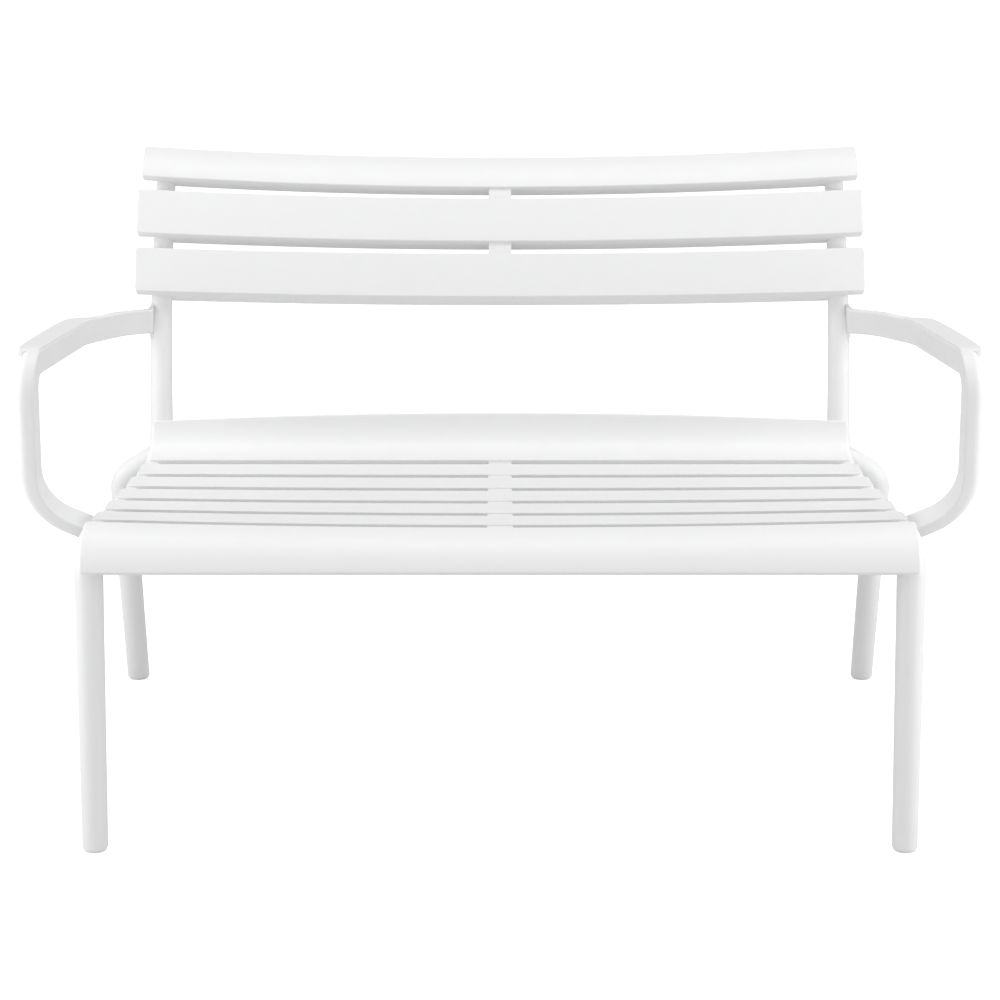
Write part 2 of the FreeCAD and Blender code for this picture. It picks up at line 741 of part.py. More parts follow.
front_glide = glide("GlideFront", size("front_foot_x"), FRAME[0].y)
shin = leg_path()[0]
rear_foot = point_where(shin, lambda point: point.z >= size("glide_height"))
rear_glide = glide("GlideRear", rear_foot.x, rear_foot.y)
rights = {
    "side_frame": cut("FrameTrim", frame_raw, [front_glide]),
    "rear_leg": cut("LegTrim", leg_raw, [frame_raw, rear_glide]),
    "arm": cut("ArmTrim", arm_raw, [frame_raw, cap_room()]),
    "armrest": cap_raw,
    "glide_front": front_glide,
    "glide_rear": rear_glide,
}
for name, right in rights.items():
    finished[name + "_right"] = right
    finished[name + "_left"] = mirrored(name + "Twin", right)
doc.recompute()

# Check, then write each piece.

faults = []
for item in doc.Objects:
    if "Invalid" in item.State or "Error" in item.State:
        faults.append("%s: %s" % (item.Name, item.State))
for name, item in finished.items():
    if item.Shape.isNull() or not item.Shape.isValid():
        faults.append("%s: shape" % name)
if faults:
    raise RuntimeError("; ".join(faults))

os.makedirs("parts", exist_ok=True)
for name, item in finished.items():
    item.Label = name
    shape = item.Shape.copy()
    shape.translate(V(0, -size("origin_back"), 0))
    shape.exportStep("parts/%s.step" % name)
    print("%-20s solids %d volume %9.0f" % (name, len(shape.Solids), shape.Volume))
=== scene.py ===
# %% [markdown]
# # A white two-seat slatted garden bench
# The real bench is moulded resin: two bent tube side frames, two splayed rear legs, two arms with
# broad armrests, five narrow seat slats between two rolled ones, and three back slats. The packed
# CAD model is loaded first. Each finished skin below is drawn from the model's own sizes, in
# metres, and stands where its plain solid stands. A few edges are set some millimetres off, where
# the photograph shows them so, and every skin stays inside the model's box.

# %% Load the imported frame
from math import asin, atan2, cos, degrees, pi, radians, sin, sqrt, tan

import bmesh
import bpy
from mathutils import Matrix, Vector


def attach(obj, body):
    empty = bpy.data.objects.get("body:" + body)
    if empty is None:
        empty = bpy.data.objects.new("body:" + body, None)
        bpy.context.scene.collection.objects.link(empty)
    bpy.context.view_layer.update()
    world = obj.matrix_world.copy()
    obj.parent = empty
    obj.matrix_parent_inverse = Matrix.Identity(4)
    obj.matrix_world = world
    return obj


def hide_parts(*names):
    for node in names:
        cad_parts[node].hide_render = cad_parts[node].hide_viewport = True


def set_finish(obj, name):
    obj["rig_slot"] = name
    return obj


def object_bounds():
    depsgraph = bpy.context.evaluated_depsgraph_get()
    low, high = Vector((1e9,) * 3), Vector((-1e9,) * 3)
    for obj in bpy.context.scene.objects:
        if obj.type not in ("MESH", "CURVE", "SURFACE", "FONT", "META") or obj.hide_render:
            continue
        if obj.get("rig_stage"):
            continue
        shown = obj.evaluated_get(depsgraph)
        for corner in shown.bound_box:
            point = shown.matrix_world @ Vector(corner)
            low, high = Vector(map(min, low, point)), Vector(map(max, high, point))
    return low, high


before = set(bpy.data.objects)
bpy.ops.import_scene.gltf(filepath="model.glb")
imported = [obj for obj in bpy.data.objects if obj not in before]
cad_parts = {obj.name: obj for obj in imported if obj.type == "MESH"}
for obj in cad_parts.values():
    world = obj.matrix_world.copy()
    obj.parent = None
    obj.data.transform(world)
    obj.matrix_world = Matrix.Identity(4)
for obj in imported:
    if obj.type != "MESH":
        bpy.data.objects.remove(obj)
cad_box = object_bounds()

print("frame loaded:", len(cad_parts), "solids")

# %% [markdown]
# ## Where depths are measured from
# The sizes below measure depth from the line through the front feet, and call it "back". The model
# is centred on the floor mark instead, so one shift turns such a depth into a place. Points are
# kept as (across, back, height) until a ring of them is laid.

# %% The shift to the floor mark
ORIGIN_BACK = 0.3273


def at(x, back, height):
    return Vector((x, back, height))


def placed(point):
    return Vector((point.x, point.y - ORIGIN_BACK, point.z))


print("the front feet stand at y =", -ORIGIN_BACK)

# %% [markdown]
# ## Bent tubes
# A real side frame is one tube that runs straight, bends, and runs straight again. It could be a
# curve object with a round bevel, but a curve can't end level on a floor pad or swell at a knee
# and stay a clean mesh. So a path is worked out as straight runs and arcs, and rings are carried
# along it. The directions across the path turn with it and never twist.

# %% Straight runs and arcs
BEND_STEPS = 14
SAME_PLACE = 1e-6


def leaning(angle):
    return at(0, sin(radians(angle)), cos(radians(angle)))


def turn_at(before, here, after, radius):
    """a rounded corner's centre, start and end, and the directions back and on from the corner"""
    back, on = (before - here).normalized(), (after - here).normalized()
    half = back.angle(on) / 2
    reach = radius / tan(half)
    centre = here + (back + on).normalized() * (radius / sin(half))
    return centre, here + back * reach, here + on * reach, back, on


def arc(centre, start, end, steps):
    first, last = start - centre, end - centre
    return [centre + first.slerp(last, i / steps) * first.length for i in range(steps + 1)]


def bent(corners, bends):
    """stretches of points: a straight run, a bend, a straight run, and so on"""
    stretches, last = [], corners[0]
    for before, here, after, radius in zip(corners, corners[1:], corners[2:], bends):
        centre, start, end = turn_at(before, here, after, radius)[:3]
        stretches += [[last, start], arc(centre, start, end, BEND_STEPS)]
        last = end
    stretches.append([last, corners[-1]])
    return stretches


def tapered(stretches, radii):
    """(point, radius) along the stretches, from the radii at their ends"""
    line = []
    for stretch, first, last in zip(stretches, radii, radii[1:]):
        whole = len(stretch) - 1
        for i, point in enumerate(stretch):
            if not line or (point - line[-1][0]).length > SAME_PLACE:
                line.append((point, first + (last - first) * i / whole))
    return line


def carried(points, up):
    """the two directions across a path at each of its points"""
    ahead = (points[1] - points[0]).normalized()
    side = ahead.cross(up).normalized()
    across = []
    for i in range(len(points)):
        on = (points[min(i + 1, len(points) - 1)] - points[max(i - 1, 0)]).normalized()
        side = ahead.rotation_difference(on) @ side
        ahead = on
        across.append((side, side.cross(on)))
    return across


print("bends are laid in", BEND_STEPS, "steps")

# %% [markdown]
# ## A skin drawn from ring to ring
# Every piece of this bench is a long form whose cross-section changes slowly: a tube, a slat, an
# arm. Bevelling a block would lose the bow and the dish. So one ring is made with create_circle
# and laid on the first outline, then it is extruded and laid on the next, right along the piece,
# and both ends are filled. Faces are turned outwards at the end.

# %% Rings and skins
def lay(ring, places):
    for vert, place in zip(ring, places):
        vert.co = placed(place)


def edges_round(shape, ring):
    return [shape.edges.get((ring[i - 1], ring[i])) for i in range(len(ring))]


def skinned(rings):
    shape = bmesh.new()
    ring = bmesh.ops.create_circle(shape, cap_ends=False, segments=len(rings[0]), radius=1.0)["verts"]
    lay(ring, rings[0])
    bmesh.ops.edgeloop_fill(shape, edges=list(shape.edges))
    rim = edges_round(shape, ring)
    for places in rings[1:]:
        made = bmesh.ops.extrude_edge_only(shape, edges=rim)["geom"]
        fresh = {vert for vert in made if isinstance(vert, bmesh.types.BMVert)}
        follows = {}
        for vert in fresh:
            for edge in vert.link_edges:
                other = edge.other_vert(vert)
                if other not in fresh:
                    follows[other] = vert
        ring = [follows[vert] for vert in ring]
        lay(ring, places)
        rim = edges_round(shape, ring)
    bmesh.ops.edgeloop_fill(shape, edges=rim)
    bmesh.ops.recalc_face_normals(shape, faces=shape.faces)
    return shape


print("ready: lay, edges_round, skinned")

# %% [markdown]
# A finished piece rides on the bench's one rigid body, stands for one plain solid, and names the
# slot of its material. The left-hand pieces are the right-hand ones mirrored.

# %% Finished pieces
RIDES = "root"
finished = {}


def put_in_scene(name, data):
    thing = bpy.data.objects.new(name, data)
    bpy.context.scene.collection.objects.link(thing)
    return thing


def finish_piece(node, shape, slot):
    """the smooth piece that stands for one plain solid of the frame"""
    mesh = bpy.data.meshes.new(node + "_skin")
    shape.to_mesh(mesh)
    shape.free()
    mesh.shade_smooth()
    piece = put_in_scene(node + "_skin", mesh)
    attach(piece, RIDES)
    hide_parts(node)
    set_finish(piece, slot)
    finished[node] = piece
    print("%-20s %6d faces" % (node, len(mesh.polygons)))


def both_hands(name, rings, slot):
    mirrored = [[at(-place.x, place.y, place.z) for place in ring] for ring in rings]
    finish_piece(name + "_right", skinned(rings), slot)
    finish_piece(name + "_left", skinned(mirrored), slot)


print("every piece rides on", RIDES)

# %% [markdown]
# ## The two side frames
# Each is one tapered tube: thick at the knee under the front of the seat, thinner towards the
# floor and towards the tip behind the top slat. A long gentle bend carries the rail down into the
# dip of the seat, a tight one turns it up, and a very long one leans the upright back. Straight
# runs and bends take turns in the path, so the rail's bend is stretch 3, the seat's 5 and the
# upright's 7.

# %% Side frame sizes and path
FOOT_X, UPRIGHT_X = 0.487, 0.457
KNEE_HEIGHT, LEG_LEAN = 0.3705, 6.8
KNEE_BACK = KNEE_HEIGHT * tan(radians(LEG_LEAN))
RAIL_DIP_BACK, RAIL_DIP_HEIGHT = 0.243, 0.3573
SEAT_BEND_BACK, SEAT_BEND_HEIGHT = 0.4681, 0.3652
LEAN_LOW, LEAN_HIGH = 9.5, 39.0
UPRIGHT_LENGTH, TIP_LENGTH = 0.242, 0.187
KNEE_BEND, RAIL_BEND, SEAT_BEND, UPRIGHT_BEND = 0.042, 3.0, 0.068, 0.7
FOOT_RADIUS, KNEE_RADIUS, RAIL_RADIUS, TIP_RADIUS = 0.0153, 0.0172, 0.0151, 0.0124
GLIDE_TOP = 0.003
RAIL_ARC, SEAT_ARC, UPRIGHT_ARC = 3, 5, 7


def rail_x(back):
    return FOOT_X + (UPRIGHT_X - FOOT_X) * (back - KNEE_BACK) / (SEAT_BEND_BACK - KNEE_BACK)


knee = at(FOOT_X, KNEE_BACK, KNEE_HEIGHT)
front_foot = knee - leaning(LEG_LEAN) * ((KNEE_HEIGHT - GLIDE_TOP) / cos(radians(LEG_LEAN)))
rail_dip = at(rail_x(RAIL_DIP_BACK), RAIL_DIP_BACK, RAIL_DIP_HEIGHT)
seat_bend = at(UPRIGHT_X, SEAT_BEND_BACK, SEAT_BEND_HEIGHT)
upright_mid = seat_bend + leaning(LEAN_LOW) * UPRIGHT_LENGTH
tube_tip = upright_mid + leaning(LEAN_HIGH) * TIP_LENGTH
side_stretches = bent([front_foot, knee, rail_dip, seat_bend, upright_mid, tube_tip],
                      [KNEE_BEND, RAIL_BEND, SEAT_BEND, UPRIGHT_BEND])
side_line = tapered(side_stretches, [FOOT_RADIUS] + [KNEE_RADIUS] * 3 + [RAIL_RADIUS] * 4
                    + [TIP_RADIUS] * 2)
print("side frame path has", len(side_line), "stations")

# %% [markdown]
# The foot of each tube is cut level where it meets its floor pad, and its rim is softly turned.
# The turn is made of a few rings that slide along the leg to their own height. The hidden tip
# gets the same soft turn.

# %% Tube rings, level feet and soft tips
SOFT_EDGE = 0.0015
TURN_STEPS = 4
TUBE_SIDES = 48


def turned_in(radius, depth):
    """how far a quarter turn of this radius still draws in, this deep from its start"""
    left = radius - min(max(depth, 0.0), radius)
    return radius - sqrt(radius ** 2 - left ** 2)


def turn_depths(radius):
    return [radius * (1 - cos(pi / 2 * i / TURN_STEPS)) for i in range(TURN_STEPS + 1)]


def tube_ring(point, radius, side, lift):
    angles = [2 * pi * i / TUBE_SIDES for i in range(TUBE_SIDES)]
    return [point + side * (cos(a) * radius) + lift * (sin(a) * radius) for a in angles]


def levelled(ring, along, height):
    return [place + along * ((height - place.z) / along.z) for place in ring]


def level_foot(line, across):
    (start, radius), along = line[0], (line[1][0] - line[0][0]).normalized()
    rings = []
    for depth in turn_depths(SOFT_EDGE):
        ring = tube_ring(start, radius - turned_in(SOFT_EDGE, depth), *across)
        rings.append(levelled(ring, along, start.z + depth))
    return rings


def soft_tip(line, across):
    (end, radius), along = line[-1], (line[-1][0] - line[-2][0]).normalized()
    return [tube_ring(end - along * depth, radius - turned_in(SOFT_EDGE, depth), *across)
            for depth in reversed(turn_depths(SOFT_EDGE))]


def tube_rings(line, open_tip=True):
    across = carried([point for point, radius in line], at(1, 0, 0))
    rings = [tube_ring(point, radius, *pair) for (point, radius), pair in zip(line, across)]
    rings[:1] = level_foot(line, across[0])
    if open_tip:
        rings[-1:] = soft_tip(line, across[-1])
    return rings


both_hands("side_frame", tube_rings(side_line), "frame_resin")

# %% [markdown]
# ## The rear legs
# Each rear leg leaves the side frame at the seat bend, drops outside it and splays out and back to
# the floor. It is a shorter tube of the same kind, so the same rings make it. Its upper end is
# hidden inside the side frame's tube, where the real one is fused.

# %% Rear legs
REAR_FOOT = at(0.526, 0.629, 0)
REAR_KNEE = at(0.5095, 0.4529, 0.345)
REAR_KNEE_BEND = 0.035
REAR_FOOT_RADIUS, REAR_KNEE_RADIUS, REAR_END_RADIUS = 0.0155, 0.0165, 0.014

seat_bend_arc = side_stretches[SEAT_ARC]
leg_end = seat_bend_arc[len(seat_bend_arc) // 2]
shin = (REAR_KNEE - REAR_FOOT).normalized()
rear_foot = REAR_FOOT + shin * (GLIDE_TOP / shin.z)
rear_line = tapered(bent([rear_foot, REAR_KNEE, leg_end], [REAR_KNEE_BEND]),
                    [REAR_FOOT_RADIUS, REAR_KNEE_RADIUS, REAR_KNEE_RADIUS, REAR_END_RADIUS])
both_hands("rear_leg", tube_rings(rear_line, open_tip=False), "frame_resin")

# %% [markdown]
# ## The floor pads
# Under each foot sits a small pad with a stem that plugs into the tube. It is a turned part, so
# its half outline is spun once round, and the join and the pole are merged.

# %% Floor pads
PAD_RADIUS, PAD_EDGE, STEM_RADIUS, STEM_TOP = 0.0136, 0.0012, 0.005, 0.013
PAD_SIDES = 40


def floor_pad(node, x, back):
    rim = [at(PAD_RADIUS - turned_in(PAD_EDGE, depth), 0, depth) for depth in turn_depths(PAD_EDGE)]
    half = [at(0, 0, 0)] + rim + [at(PAD_RADIUS, 0, GLIDE_TOP), at(STEM_RADIUS, 0, GLIDE_TOP),
                                  at(STEM_RADIUS, 0, STEM_TOP), at(0, 0, STEM_TOP)]
    shape = bmesh.new()
    verts = [shape.verts.new(point) for point in half]
    edges = [shape.edges.new(pair) for pair in zip(verts, verts[1:])]
    bmesh.ops.spin(shape, geom=verts + edges, cent=(0, 0, 0), axis=(0, 0, 1), angle=2 * pi,
                   steps=PAD_SIDES, use_merge=True)
    bmesh.ops.remove_doubles(shape, verts=shape.verts, dist=SAME_PLACE)
    bmesh.ops.recalc_face_normals(shape, faces=shape.faces)
    bmesh.ops.translate(shape, verts=shape.verts, vec=placed(at(x, back, 0)))
    finish_piece(node, shape, "glide_plastic")


for hand, name in ((1, "right"), (-1, "left")):
    floor_pad("glide_front_" + name, hand * FOOT_X, front_foot.y)
    floor_pad("glide_rear_" + name, hand * rear_foot.x, rear_foot.y)

# %% [markdown]
# ## Outlines with turned corners
# Resin mouldings have no sharp corner, and it is the soft edges that catch the light. Each
# cross-section is written as a few corners, and every corner is turned at its own radius. A
# point just outside each turn keeps the flat beside it flat when it is shaded smooth.

# %% Turned corners and drawn-in outlines
CORNER_STEPS = 4
HOLD = 0.6


def turned(corners, radii):
    outline = []
    for i, (here, radius) in enumerate(zip(corners, radii)):
        if not radius:
            outline.append(here)
            continue
        after = corners[(i + 1) % len(corners)]
        centre, start, end, back, on = turn_at(corners[i - 1], here, after, radius)
        turn = arc(centre, start, end, CORNER_STEPS)
        outline += [start + back * (radius * HOLD)] + turn + [end + on * (radius * HOLD)]
    return outline


def drawn_in(outline, amount):
    """the outline moved into itself, as where a piece's end is rounded off"""
    if not amount:
        return outline
    area = sum(a.y * b.z - b.y * a.z for a, b in zip(outline, outline[1:] + outline[:1]))
    hand = 1 if area > 0 else -1
    moved = []
    for i, here in enumerate(outline):
        along = (outline[(i + 1) % len(outline)] - outline[i - 1]).normalized()
        moved.append(here + at(0, -along.z, along.y) * (hand * amount))
    return moved


def arc_points(centre, radius, start, end, steps):
    angles = [radians(start + (end - start) * i / steps) for i in range(steps + 1)]
    return [centre + at(0, cos(a), sin(a)) * radius for a in angles]


print("corners are turned in", CORNER_STEPS, "steps")

# %% [markdown]
# ## Slats
# A slat runs right across the bench. Its outline is the same kind all the way, but the middle lies
# further back and lower, because the seat is bowed and dished for two sitters. The ends are
# rounded twice: the edge all round is softened, and in plan the corners are cut round like a tab.
# The last ring is drawn in by a little less than the whole soft edge, so that its own corners
# don't shrink to points.

# %% Laying a slat from end to end
SLAT_BAYS = 22
STATION_DIGITS = 5
EDGE_SHARE = 0.85


def stations(half, edge, corner, marks):
    """places across the bench, from the left end to the right one"""
    ends = {half - depth for radius in (edge, corner) for depth in turn_depths(radius)}
    first = half - max(edge, corner)
    inner = {first * i / SLAT_BAYS for i in range(SLAT_BAYS)}
    right = sorted({round(x, STATION_DIGITS) for x in ends | inner | set(marks)})
    return [-x for x in reversed(right) if x > 0] + right


def slat(node, half, edge, corner, outline, marks=()):
    """outline(x, drawn) gives the section at x, with its corners drawn in by that much"""
    rings = []
    for x in stations(half, edge, corner, marks):
        depth = half - abs(x)
        section = outline(x, turned_in(corner, depth))
        section = drawn_in(section, min(turned_in(edge, depth), EDGE_SHARE * edge))
        rings.append([at(x, point.y, point.z) for point in section])
    finish_piece(node, skinned(rings), "slat_resin")


def middle_share(x, half):
    """1 in the middle of the bench and 0 at the slat's ends"""
    return 1 - (x / half) ** 2


print("slats are laid in", 2 * SLAT_BAYS, "bays and their rounded ends")

# %% [markdown]
# The seat line is read off the side frame's tube: a slat stands a little proud of the tube at its
# own depth. From there it dips and bows towards the middle.

# %% The seat line
SEAT_PROUD, SEAT_DISH, SEAT_BOW, OVERHANG = 0.0025, 0.0075, 0.03, 0.0085
SLAT_WIDTH, SLAT_GAP, ROLL_GAP, REAR_GAP, SLAT_DEPTH = 0.0499, 0.0125, 0.016, 0.013, 0.017
ROLL_REAR = 0.076
SEAT_SLATS = 5


def rail_top(back):
    """the top of the side frame's tube at this depth"""
    for (low, r_low), (high, r_high) in zip(side_line, side_line[1:]):
        if low.y <= back <= high.y:
            share = (back - low.y) / (high.y - low.y)
            return low.z + (high.z - low.z) * share + r_low + (r_high - r_low) * share
    raise ValueError("no rail at %g" % back)


def seat_height(back, share):
    return rail_top(back) + SEAT_PROUD - SEAT_DISH * share


def slat_front(index):
    start = ROLL_REAR + ROLL_GAP + index * (SLAT_WIDTH + SLAT_GAP)
    return start + REAR_GAP - SLAT_GAP if index == SEAT_SLATS else start


def bow(back):
    return SEAT_BOW * (back - ROLL_REAR) / (slat_front(SEAT_SLATS) - ROLL_REAR)


for back in (0.1, 0.2, 0.3, 0.4):
    print("seat line at %.1f m: %.4f" % (back, seat_height(back, 0)))

# %% [markdown]
# ## The five narrow seat slats
# They differ only in where they lie, so one function makes them. Each long edge is trimmed by
# about a millimetre, so that the gaps between the slats are as wide as in the photograph.

# %% The five narrow seat slats
TOP_EDGE, LOW_EDGE, TAB_CORNER, SLAT_TRIM = 0.0007, 0.001, 0.005, 0.0012


def seat_slat(index):
    front = slat_front(index)
    rear = front + SLAT_WIDTH
    half = rail_x((front + rear) / 2) + OVERHANG

    def outline(x, drawn):
        share = middle_share(x, half)
        near = front + SLAT_TRIM + bow(front) * share + drawn
        far = rear - SLAT_TRIM + bow(rear) * share - drawn
        high_near, high_far = seat_height(front, share), seat_height(rear, share)
        corners = [at(0, near, high_near), at(0, far, high_far), at(0, far, high_far - SLAT_DEPTH),
                   at(0, near, high_near - SLAT_DEPTH)]
        return turned(corners, [TOP_EDGE, TOP_EDGE, LOW_EDGE, LOW_EDGE])

    slat("seat_slat_%d" % (index + 1), half, TOP_EDGE, TAB_CORNER, outline)


for index in range(SEAT_SLATS):
    seat_slat(index)

# %% [markdown]
# ## The front roll
# The front slat rolls over the knees of the side frames in one round face and is turned under at
# its lower edge. Its outer and inner faces are two arcs about one centre. The centre sinks with
# the dish, so it is found again at every station.

# %% The front roll
ROLL_FRONT, ROLL_BOTTOM, ROLL_UNDER, ROLL_LIFT = 0.021, 0.337, 0.004, 0.0015
ROLL_RADIUS, ROLL_WALL, ROLL_CORNER = 0.062, 0.013, 0.005
ROLL_EDGE, ROLL_REAR_EDGE = 0.0026, 0.0009
ROLL_STEPS = 12


def front_roll():
    half = rail_x((ROLL_FRONT + ROLL_REAR) / 2) + OVERHANG

    def outline(x, drawn):
        share = middle_share(x, half)
        rear = at(0, ROLL_REAR, seat_height(ROLL_REAR, 0) + ROLL_LIFT - SEAT_DISH * share)
        front = at(0, ROLL_FRONT, ROLL_BOTTOM + ROLL_UNDER)
        chord = front - rear
        across = at(0, -chord.z, chord.y).normalized()
        centre = (front + rear) * 0.5 + across * sqrt(ROLL_RADIUS ** 2 - (chord.length / 2) ** 2)
        cut = degrees(drawn / ROLL_RADIUS)
        start = degrees(atan2(rear.z - centre.z, rear.y - centre.y)) + cut
        end = degrees(atan2(front.z - centre.z, front.y - centre.y)) % 360 - cut
        outer = arc_points(centre, ROLL_RADIUS, start, end, ROLL_STEPS)
        inner = arc_points(centre, ROLL_RADIUS - ROLL_WALL, end, start, ROLL_STEPS)
        toe = at(0, outer[-1].y + ROLL_UNDER, outer[-1].z - ROLL_UNDER)
        radii = [ROLL_REAR_EDGE] + [0] * (ROLL_STEPS - 1) + [ROLL_EDGE / 2, LOW_EDGE]
        radii += [LOW_EDGE] + [0] * (ROLL_STEPS - 1) + [LOW_EDGE]
        return turned(outer + [toe] + inner, radii)

    slat("seat_front_roll", half, ROLL_EDGE, ROLL_CORNER, outline)


front_roll()

# %% [markdown]
# ## The rear roll
# The rearmost slat lies in the hollow of the seat bend and climbs the uprights, so it closes the
# seat like the lower edge of a shell chair. Its face is an arc about the seat bend's own centre,
# and its upper edge rises towards the middle. Its front lip is set a little back and up, as the
# photograph shows it.

# %% The rear roll
REAR_ROLL_TOP, REAR_ROLL_WALL, REAR_ROLL_CROWN, ROLL_FOOT = 0.422, 0.013, 0.003, -87.0
REAR_ROLL_EDGE, REAR_ROLL_CORNER, REAR_ROLL_LAND = 0.0012, 0.0025, 0.006
LIP_BACK, LIP_UP = 0.003, 0.0012
bend_hub = turn_at(rail_dip, seat_bend, upright_mid, SEAT_BEND)[0]


def rear_roll():
    half = rail_x(SEAT_BEND_BACK) + OVERHANG
    hub = at(0, bend_hub.y, bend_hub.z)
    inner = SEAT_BEND - RAIL_RADIUS - SEAT_PROUD
    front = slat_front(SEAT_SLATS)

    def outline(x, drawn):
        share = middle_share(x, half)
        top = REAR_ROLL_TOP + (REAR_ROLL_CROWN + SEAT_DISH) * share - drawn
        arc_end = min(hub.z - inner * sin(radians(LEAN_LOW)), top - REAR_ROLL_LAND)
        last = degrees(asin((arc_end - hub.z) / inner))
        up = leaning(-last)
        face = arc_points(hub, inner, ROLL_FOOT, last, ROLL_STEPS)
        outside = arc_points(hub, inner + REAR_ROLL_WALL, last, ROLL_FOOT, ROLL_STEPS)
        rise = (top - face[-1].z) / up.z
        lip = at(0, front + LIP_BACK + drawn, seat_height(front, 0) + LIP_UP)
        corners = [lip] + face + [face[-1] + up * rise, outside[0] + up * rise] + outside
        corners += [lip - at(0, 0, REAR_ROLL_WALL)]
        radii = [LOW_EDGE] + [0] * len(face) + [REAR_ROLL_EDGE] * 2 + [0] * len(outside) + [LOW_EDGE]
        shift = at(0, bow(front) * share, -SEAT_DISH * share)
        return turned([corner + shift for corner in corners], radii)

    slat("seat_rear_roll", half, REAR_ROLL_EDGE, REAR_ROLL_CORNER, outline)


rear_roll()

# %% [markdown]
# ## The rib under the seat
# A flat rib runs under the middle of the seat and ties the slats together. It shows in the gaps.
# It is a bar of one width that follows the seat line, laid from front to rear, with its lower
# corners turned.

# %% The rib
RIB_HALF, RIB_DEPTH, RIB_RECESS, RIB_END, RIB_EDGE = 0.0155, 0.027, 0.0015, 0.014, 0.002
RIB_STEPS = 16


def bar_section(half, high, low, top_edge, low_edge):
    corners = [at(0, -half, high), at(0, half, high), at(0, half, low), at(0, -half, low)]
    return turned(corners, [top_edge, top_edge, low_edge, low_edge])


def seat_rib():
    first, last = ROLL_REAR - RIB_END, slat_front(SEAT_SLATS) + SEAT_BOW + RIB_END
    span = slat_front(SEAT_SLATS) - ROLL_REAR
    squeeze = span / (span + SEAT_BOW)
    rings = []
    for i in range(RIB_STEPS + 1):
        back = first + (last - first) * i / RIB_STEPS
        on_rail = ROLL_REAR + (back - ROLL_REAR) * squeeze
        line = seat_height(min(max(on_rail, ROLL_REAR), slat_front(SEAT_SLATS)), 1)
        section = bar_section(RIB_HALF, line - RIB_RECESS, line - RIB_DEPTH, RIB_EDGE / 2, RIB_EDGE)
        rings.append([at(point.y, back, point.z) for point in section])
    finish_piece("seat_centre_rib", skinned(rings), "frame_resin")


seat_rib()

# %% [markdown]
# ## The three back slats
# The faces of the back slats lie on one large arc, the same that bends the uprights. Each slat is
# thin where it laps over an upright and deeper between the uprights, where the change is rounded
# into the tube's inner side. Their upper and lower faces run back and down at one angle, and the
# top slat's upper edge is laid back. Seen from above all three bow backwards, like the seat.

# %% Back slat sizes
BACK_PROUD, BACK_SINK, BACK_DEPTH, BACK_DRAW = 0.0155, 0.0013, 0.0337, 33.0
BACK_HALF, BACK_TOP_HALF, BACK_BOW, BACK_LOW = 0.489, 0.486, 0.03, 0.592
BACK_HEIGHT, BACK_GAP, BACK_TOP_HEIGHT, BACK_CURL = 0.0633, 0.0177, 0.0562, 0.013
BACK_EDGE, BACK_LOW_EDGE, BACK_CORNER = 0.0013, 0.0012, 0.003
CORE_HALF, CORE_TURN = 0.441, 0.014
back_centre = turn_at(seat_bend, upright_mid, tube_tip, UPRIGHT_BEND)[0]
back_centre = at(0, back_centre.y, back_centre.z)
BACK_FACE = UPRIGHT_BEND + RAIL_RADIUS - BACK_SINK + BACK_PROUD


def back_at(radius, lean):
    return back_centre + at(0, -cos(radians(lean)), sin(radians(lean))) * radius


def back_leans():
    start = degrees(asin((BACK_LOW - back_centre.z) / BACK_FACE))
    leans = []
    for height in (BACK_HEIGHT, BACK_HEIGHT, BACK_TOP_HEIGHT):
        leans.append((start, start + degrees(height / BACK_FACE)))
        start = leans[-1][1] + degrees(BACK_GAP / BACK_FACE)
    return leans


for start, end in back_leans():
    print("back slat leans from %.2f to %.2f degrees" % (start, end))

# %% [markdown]
# The depth of a back slat at one place across the bench is what makes it look moulded: a quarter
# turn joins the deep core to the thin lap. Marks are set in the turn, so that rings fall there.
# In the photograph a line of background shows in the two gaps. So the bottom slat is trimmed at
# its upper edge and the top slat at its lower one, and the lower rear edge of the core is less
# deep the higher the slat lies.

# %% The back slats
CORE_MARKS = [CORE_HALF + CORE_TURN * sin(radians(turn)) for turn in range(0, 91, 15)]
FACE_STEPS = 6
BACK_SLATS = {  # trims of the lower and the upper edge, and the taper of the core
    "bottom": (0.0, 0.003, 0.001),
    "middle": (0.0, 0.0, 0.003),
    "top": (0.0022, 0.0, 0.006)}


def slat_depth(x):
    past = (abs(x) - CORE_HALF) / CORE_TURN
    if past <= 0:
        return BACK_DEPTH
    return BACK_PROUD + (BACK_DEPTH - BACK_PROUD) * sqrt(max(0.0, 1 - min(past, 1) ** 2))


def back_slat(node, leans, curl, half, taper):
    middle = radians(sum(leans) / 2)
    backwards = at(0, cos(middle), -sin(middle))
    draft = at(0, cos(radians(BACK_DRAW)), -sin(radians(BACK_DRAW)))

    def outline(x, drawn):
        sag = BACK_BOW * ((UPRIGHT_X / half) ** 2 - (x / half) ** 2)
        cut = degrees(drawn / BACK_FACE)
        start, end = leans[0] + cut, leans[1] - cut
        shares = [i / FACE_STEPS for i in range(FACE_STEPS + 1)]
        face = [back_at(BACK_FACE, start + (end - start) * s) + backwards * (sag + curl * s * s)
                for s in shares]
        depth = slat_depth(x)
        core = (depth - BACK_PROUD) / (BACK_DEPTH - BACK_PROUD)
        corners = face + [face[-1] + draft * depth, face[0] + draft * (depth - taper * core)]
        radii = [BACK_EDGE] + [0] * (FACE_STEPS - 1) + [BACK_EDGE, BACK_LOW_EDGE, BACK_LOW_EDGE]
        return turned(corners, radii)

    slat(node, half, BACK_EDGE, BACK_CORNER, outline, marks=CORE_MARKS)


